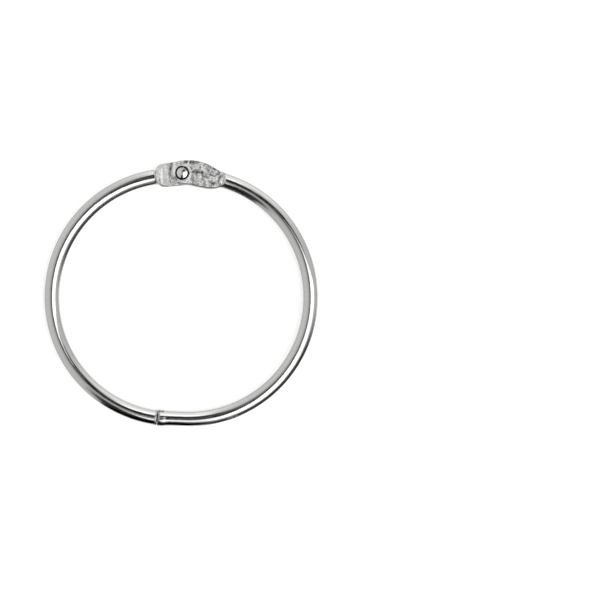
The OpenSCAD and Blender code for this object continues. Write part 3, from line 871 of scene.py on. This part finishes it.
def plated_wire(scene):
    """Bright nickel plate over drawn steel wire. The wire mirrors the room in long bands that the
    drawing lines and the plate's slow ripple make a little unsteady. The pressed ends are paler
    and matt, mottled by the die, with dark dull pits and residue, painted shade, a few rubbed
    places and painted highlights."""
    fin = scene.binder_ring_finish
    material, tree = new_material("bright_nickel_plate_on_drawn_wire")
    run = add_node(tree, "Attribute", attribute_name="wire_place", out="Vector")
    finish = add_node(tree, "Attribute", attribute_name="finish", out="Vector")
    # rubbed also carries painted highlights, and the stain painted shade
    matt, rubbed, stain_and_painted_dark = add_node(tree, "SeparateXYZ", finish).node.outputs
    here = add_node(tree, "TexCoord", out="Object")
    mm = add_node(tree, "Mapping", here, Scale=(1000, 1000, 1000))
    # The die's marks are drawn out a little along one way, 25 degrees off the hinge's upright
    die = add_node(tree, "Mapping", here, vector_type="TEXTURE",
                   Rotation=(0, 0, math.radians(-25)), Scale=(0.001, 0.0012, 0.001))
    # Drawing lines run along the wire, 0.2 mm apart and several millimetres long, and the
    # plate's ripple is 0.7 mm wide and twice as long
    lines = add_node(tree, "Mapping", run, Scale=(0.15, 5.0, 5.0))
    ripple = add_node(tree, "Mapping", run, Scale=(0.7, 1.4, 1.4))
    # Grains of the die's scale are 0.3 mm wide, its blots 0.9 mm, and the clouds of gloss 3 mm
    drawn, wavy, grain, blot, cloud = (
        add_node(tree, "TexNoise", Vector=where, Scale=per_mm, Detail=detail, Roughness=rough)
        for where, per_mm, detail, rough in (
            (lines, 1.0, 2.0, 0.6), (ripple, 1.0, 4.0, 0.7), (die, 3.4, 3.0, 0.6),
            (die, 1.15, 4.0, 0.68), (mm, 0.35, 3.0, 0.5)))
    level = add_node(tree, "MapRange", matt, 0.65, 0.95, **EASED)
    worn = add_node(tree, "MapRange", rubbed, 0.0, 0.55, 1.0, 0.1, **EASED)
    scaly = add_node(tree, "Math", level, worn, operation="MULTIPLY")
    # Pits are where residue meets the low places of the die's scale; the stain adds painted shade
    dark = add_node(tree, "Math", grain, 1.4, operation="MULTIPLY")
    dark = add_node(tree, "Math", blot, 2.2, dark, operation="MULTIPLY_ADD")
    dark = add_node(tree, "Math", 1.8, dark, operation="SUBTRACT")
    dark = add_node(tree, "Math", dark, scaly, stain_and_painted_dark, operation="MULTIPLY_ADD")
    dark = add_node(tree, "MapRange", dark, 0.22, 0.84, **EASED)
    # The mottle of the die's scale, smoothed away and paled on rubbed places and painted highlights
    mottle = add_node(tree, "Math", blot, 0.68, operation="MULTIPLY")
    mottle = add_node(tree, "Math", grain, 0.32, mottle, operation="MULTIPLY_ADD")
    smooth = add_node(tree, "MapRange", rubbed, 0.5, 1.0, 0.5, 0.64, **EASED)
    mottle = add_node(tree, "Mix", scaly, smooth, mottle)
    pale = add_node(tree, "MapRange", mottle, 0.39, 0.61, **EASED)
    flat = add_node(tree, "Mix", pale, fin.mottle, fin.pressed, data_type="RGBA")
    pressed = add_node(tree, "Mix", level, fin.side, flat, data_type="RGBA")
    hazy = add_node(tree, "MapRange", grain, 0.35, 0.65, 0.14, 0.0, **EASED)
    plate = add_node(tree, "Mix", hazy, fin.plate, fin.side, data_type="RGBA")
    off_wire = add_node(tree, "MapRange", matt, 0.0, 0.5, **EASED)
    shade = add_node(tree, "Mix", off_wire, plate, pressed, data_type="RGBA")
    shade = add_node(tree, "Mix", dark, shade, fin.pit, data_type="RGBA")
    gloss = add_node(tree, "MapRange", cloud, 0.3, 0.7, fin.gloss - 0.02, fin.gloss + 0.04, **EASED)
    rough = add_node(tree, "Mix", matt, gloss, fin.matt)
    # Heights, in units of 0.012 mm: ripple and drawing lines on the wire, mottle and pits on flats
    on_wire = add_node(tree, "Math", drawn, 0.15, wavy, operation="MULTIPLY_ADD")
    on_flat = add_node(tree, "Math", mottle, 5.0, operation="MULTIPLY")
    on_flat = add_node(tree, "Math", dark, -0.8, on_flat, operation="MULTIPLY_ADD")
    height = add_node(tree, "Mix", matt, on_wire, on_flat)
    bump = add_node(tree, "Bump", Strength=1.0, Distance=0.000012, Height=height)
    metal = add_node(tree, "BsdfPrincipled", Base_Color=shade, Metallic=1.0, Roughness=rough,
                     Normal=bump)
    add_node(tree, "OutputMaterial", metal)
    return material


def polished_rivet(scene):
    """Polished nickel plate on the rivet's heads, with painted shade low on the rim where the head
    meets the ear, and a painted dark reflection streak across each head.
    """
    fin = scene.binder_ring_finish
    material, tree = new_material("polished_nickel_plate_on_rivet")
    run = add_node(tree, "Attribute", attribute_name="wire_place", out="Vector")
    flat = add_node(tree, "VectorMath", run, (1, 1, 0), operation="MULTIPLY")
    far = add_node(tree, "VectorMath", flat, operation="LENGTH", out="Value")
    # Painted shade in a ring at the foot of each head's rim
    seam = add_node(tree, "MapRange", far, 1.07, 1.14, **EASED)
    finish = add_node(tree, "Attribute", attribute_name="finish", out="Vector")
    stain_and_painted_dark = add_node(tree, "SeparateXYZ", finish, out="Z")
    # The seam's painted shade and the heads' painted reflection both darken the plate
    dark = add_node(tree, "Math", seam, stain_and_painted_dark, operation="MAXIMUM")
    shade = add_node(tree, "Mix", dark, fin.head, fin.seam, data_type="RGBA")
    metal = add_node(tree, "BsdfPrincipled", Base_Color=shade, Metallic=1.0, Roughness=0.27)
    add_node(tree, "OutputMaterial", metal)
    return material


# Stage ---------------------------------------------------------------

# Brightness of the room by the angle down from straight overhead, in degrees
ROOM = ((0, 0.58), (20, 0.57), (45, 0.75), (70, 0.70), (90, 0.78), (110, 0.50), (130, 1.45),
        (150, 1.05), (180, 0.95))
# Cards round the table: azimuth from and to, angle from overhead from and to, in degrees, soft
# edges in azimuth and in angle, and brightness
CARDS = (
    ("bright window", (66, 103), (28, 90), (5, 10), 1.7),
    ("under the window", (44, 109), (56, 103), (20, 8), 1.2),
    ("dark wall, left of the window", (-133, -93), (26, 72), (5, 2), 0.03),
    ("dark wall, lower down", (-127, -83), (64, 118), (2, 2.5), 0.0),
    ("dark wall, under the softbox", (-86, -45), (79, 140), (5, 3.5), 0.06),
    ("dark wall, right of the softbox", (-58, -14), (78, 140), (13, 3.5), 0.05),
)
# Cards overhead: from and to along X and along Y as shares of their height over the table, the
# soft edge as a share, and brightness
OVERHEAD = (
    ("stand and arm", (-0.18, 0.62), (0.10, 0.60), 0.04, 0.02),
    ("camera", (-0.07, 0.175), (-0.395, 0.124), 0.04, 0.0),
    ("leg of the stand", (-0.24, -0.13), (-0.10, 0.32), 0.04, 0.25),
    ("strip light", (-0.265, 0.174), (-1.05, -0.48), 0.04, 1.55),
)


def lay_card(tree, level, sides, bright):
    """Lays a card over the room's brightness. It lies where each of its sides' values is between
    the lowest and the highest, and its edges are eased over the soft width."""
    inside = 1.0
    for value, (low, high), soft in sides:
        for edge, inward in ((low, soft), (high, -soft)):
            step = add_node(tree, "MapRange", value, edge - inward, edge + inward, **EASED)
            inside = add_node(tree, "Math", inside, step, operation="MULTIPLY")
    return add_node(tree, "Mix", inside, level, bright)


def surroundings():
    """The world: a pale room whose ceiling is darker over the table, white below the table's
    level, with dark and bright cards placed by azimuth and height. Rays from the camera see
    plain white."""
    world = bpy.data.worlds.new("studio_room")
    world.use_nodes = True
    tree = world.node_tree
    tree.nodes.clear()
    way = add_node(tree, "TexCoord", out="Generated")
    x, y, z = add_node(tree, "SeparateXYZ", way).node.outputs
    azimuth = add_node(tree, "Math", y, x, operation="ARCTAN2")
    azimuth = add_node(tree, "Math", azimuth, operation="DEGREES")
    down = add_node(tree, "Math", z, operation="ARCCOSINE")
    down = add_node(tree, "Math", down, operation="DEGREES")
    # The ramp goes no higher than 1, so it holds half the brightness
    room = add_node(tree, "ValToRGB", add_node(tree, "Math", down, 180.0, operation="DIVIDE"))
    stops = room.node.color_ramp.elements
    for _ in ROOM[2:]:
        stops.new(1.0)
    for stop, (angle, bright) in zip(stops, ROOM):
        stop.position, stop.color = angle / 180, (bright / 2, bright / 2, bright / 2, 1)
    # The side up and left of the table is the lighter one
    slant = add_node(tree, "Math", y, 0.26, 2.0, operation="MULTIPLY_ADD")
    slant = add_node(tree, "Math", x, -0.19, slant, operation="MULTIPLY_ADD")
    level = add_node(tree, "Math", room, slant, operation="MULTIPLY")
    rise = add_node(tree, "Math", z, 0.02, operation="MAXIMUM")
    over_x, over_y = (add_node(tree, "Math", side, rise, operation="DIVIDE") for side in (x, y))
    for _, around, heights, (soft_a, soft_h), bright in CARDS:
        sides = (azimuth, around, soft_a), (down, heights, soft_h)
        level = lay_card(tree, level, sides, bright)
    for _, along_x, along_y, soft, bright in OVERHEAD:
        sides = (over_x, along_x, soft), (over_y, along_y, soft)
        level = lay_card(tree, level, sides, bright)
    seen = add_node(tree, "LightPath", out="Is Camera Ray")
    level = add_node(tree, "Mix", seen, level, 1.0)
    add_node(tree, "OutputWorld", add_node(tree, "Background", (1, 1, 1, 1), level))
    bpy.context.scene.world = world


def pale_floor(scene):
    """Pale matt floor under the ring. Seen by the camera it is lifted to white and keeps the
    ring's shadow; from below it is clear."""
    half, below_ring, lift = 1.5, -1e-5, 0.47
    material, tree = new_material("pale_studio_floor")
    seen = add_node(tree, "LightPath", out="Is Camera Ray")
    glow = add_node(tree, "Emission", (lift, lift, lift, 1), seen)
    matt = add_node(tree, "BsdfDiffuse", scene.binder_ring_finish.floor)
    both = add_node(tree, "AddShader", glow, matt)
    below = add_node(tree, "NewGeometry", out="Backfacing")
    clear = add_node(tree, "BsdfTransparent")
    add_node(tree, "OutputMaterial", add_node(tree, "MixShader", below, both, clear))
    mesh = bpy.data.meshes.new("floor")
    mesh.from_pydata([(-half, -half, below_ring), (half, -half, below_ring),
                      (half, half, below_ring), (-half, half, below_ring)], [], [(0, 1, 2, 3)])
    mesh.materials.append(material)
    floor = add_object("floor", mesh)
    floor.visible_glossy = False


def softbox():
    """The large softbox to the lower right of the camera. Its watts are its radiance times its
    area times pi."""
    height, radiance = 1.2, 1.55
    data = bpy.data.lights.new("softbox", "AREA")
    data.shape = "RECTANGLE"
    data.size, data.size_y = 1.40 * height, 1.86 * height
    data.energy = radiance * data.size * data.size_y * math.pi
    lamp = add_object("softbox", data)
    lamp.location = (0.85 * height, -0.756 * height, height)
    lamp.visible_camera = False


def camera():
    """Long lens straight over the table, with the ring on the left of the frame. Its focal length
    follows from its distance to the rivet's middle and the width that it sees there."""
    away, across = 0.65, 0.12552
    data = bpy.data.cameras.new("camera")
    data.sensor_width = 36.0
    data.lens = data.sensor_width * away / across
    data.clip_start, data.clip_end = 0.01, 10.0
    lens = add_object("camera", data)
    lens.location = (0.0249, -0.00142, away + HINGE_AT[2] * MM)
    bpy.context.scene.camera = lens


# Operators and panel -------------------------------------------------

class BINDER_RING_OT_tongue_half(bpy.types.Operator):
    """Makes the half with the tongue and the snap pin"""

    bl_idname = "binder_ring.tongue_half"
    bl_label = "Tongue half"

    def execute(self, context):
        obj = tongue_half(layout(context.scene))
        obj.data.materials.append(plate_material(context.scene))
        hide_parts("tongue_half")
        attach(obj, "tongue_side")
        return {"FINISHED"}


class BINDER_RING_OT_fork_half(bpy.types.Operator):
    """Makes the half with the fork and the socket"""

    bl_idname = "binder_ring.fork_half"
    bl_label = "Fork half"

    def execute(self, context):
        obj = fork_half(layout(context.scene))
        obj.data.materials.append(plate_material(context.scene))
        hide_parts("fork_half")
        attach(obj, "fork_side")
        return {"FINISHED"}


class BINDER_RING_OT_rivet(bpy.types.Operator):
    """Makes the rivet"""

    bl_idname = "binder_ring.rivet"
    bl_label = "Rivet"

    def execute(self, context):
        obj = rivet(layout(context.scene))
        obj.data.materials.append(polished_rivet(context.scene))
        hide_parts("rivet")
        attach(obj, "fork_side")
        return {"FINISHED"}


class BINDER_RING_OT_stage(bpy.types.Operator):
    """Makes the floor, the softbox, the room and the camera"""

    bl_idname = "binder_ring.stage"
    bl_label = "Stage"

    def execute(self, context):
        pale_floor(context.scene)
        softbox()
        surroundings()
        camera()
        context.scene.view_settings.view_transform = "Standard"
        return {"FINISHED"}


def plate_material(scene):
    """The wire's plating, made once for both halves."""
    return bpy.data.materials.get("bright_nickel_plate_on_drawn_wire") or plated_wire(scene)


GROUPS = {"binder_ring_wire": BinderRingWire, "binder_ring_tongue": BinderRingTongue,
          "binder_ring_fork": BinderRingFork, "binder_ring_rivet": BinderRingRivet,
          "binder_ring_closure": BinderRingClosure, "binder_ring_finish": BinderRingFinish}
OPERATORS = (BINDER_RING_OT_tongue_half, BINDER_RING_OT_fork_half, BINDER_RING_OT_rivet,
             BINDER_RING_OT_stage)


class BINDER_RING_PT_panel(bpy.types.Panel):
    """Sizes, colours and pieces of the binder ring"""

    bl_label = "Binder Ring"
    bl_idname = "BINDER_RING_PT_panel"
    bl_space_type = "VIEW_3D"
    bl_region_type = "UI"
    bl_category = "Binder Ring"

    def draw(self, context):
        for name, group in GROUPS.items():
            box = self.layout.box()
            box.label(text=group.__name__[len("BinderRing"):])
            for key in group.__annotations__:
                box.prop(getattr(context.scene, name), key)
        for operator in OPERATORS:
            self.layout.operator(operator.bl_idname)


CLASSES = (*GROUPS.values(), *OPERATORS, BINDER_RING_PT_panel)


def register():
    """Registers the classes and hangs the property groups on the scene."""
    for cls in CLASSES:
        bpy.utils.register_class(cls)
    for name, group in GROUPS.items():
        setattr(bpy.types.Scene, name, bpy.props.PointerProperty(type=group))


def unregister():
    """Takes the property groups and classes away again."""
    for name in GROUPS:
        delattr(bpy.types.Scene, name)
    for cls in reversed(CLASSES):
        bpy.utils.unregister_class(cls)


def main():
    """Makes every piece in order."""
    register()
    bpy.ops.binder_ring.tongue_half()
    bpy.ops.binder_ring.fork_half()
    bpy.ops.binder_ring.rivet()
    bpy.ops.binder_ring.stage()


if __name__ == "__main__":
    main()
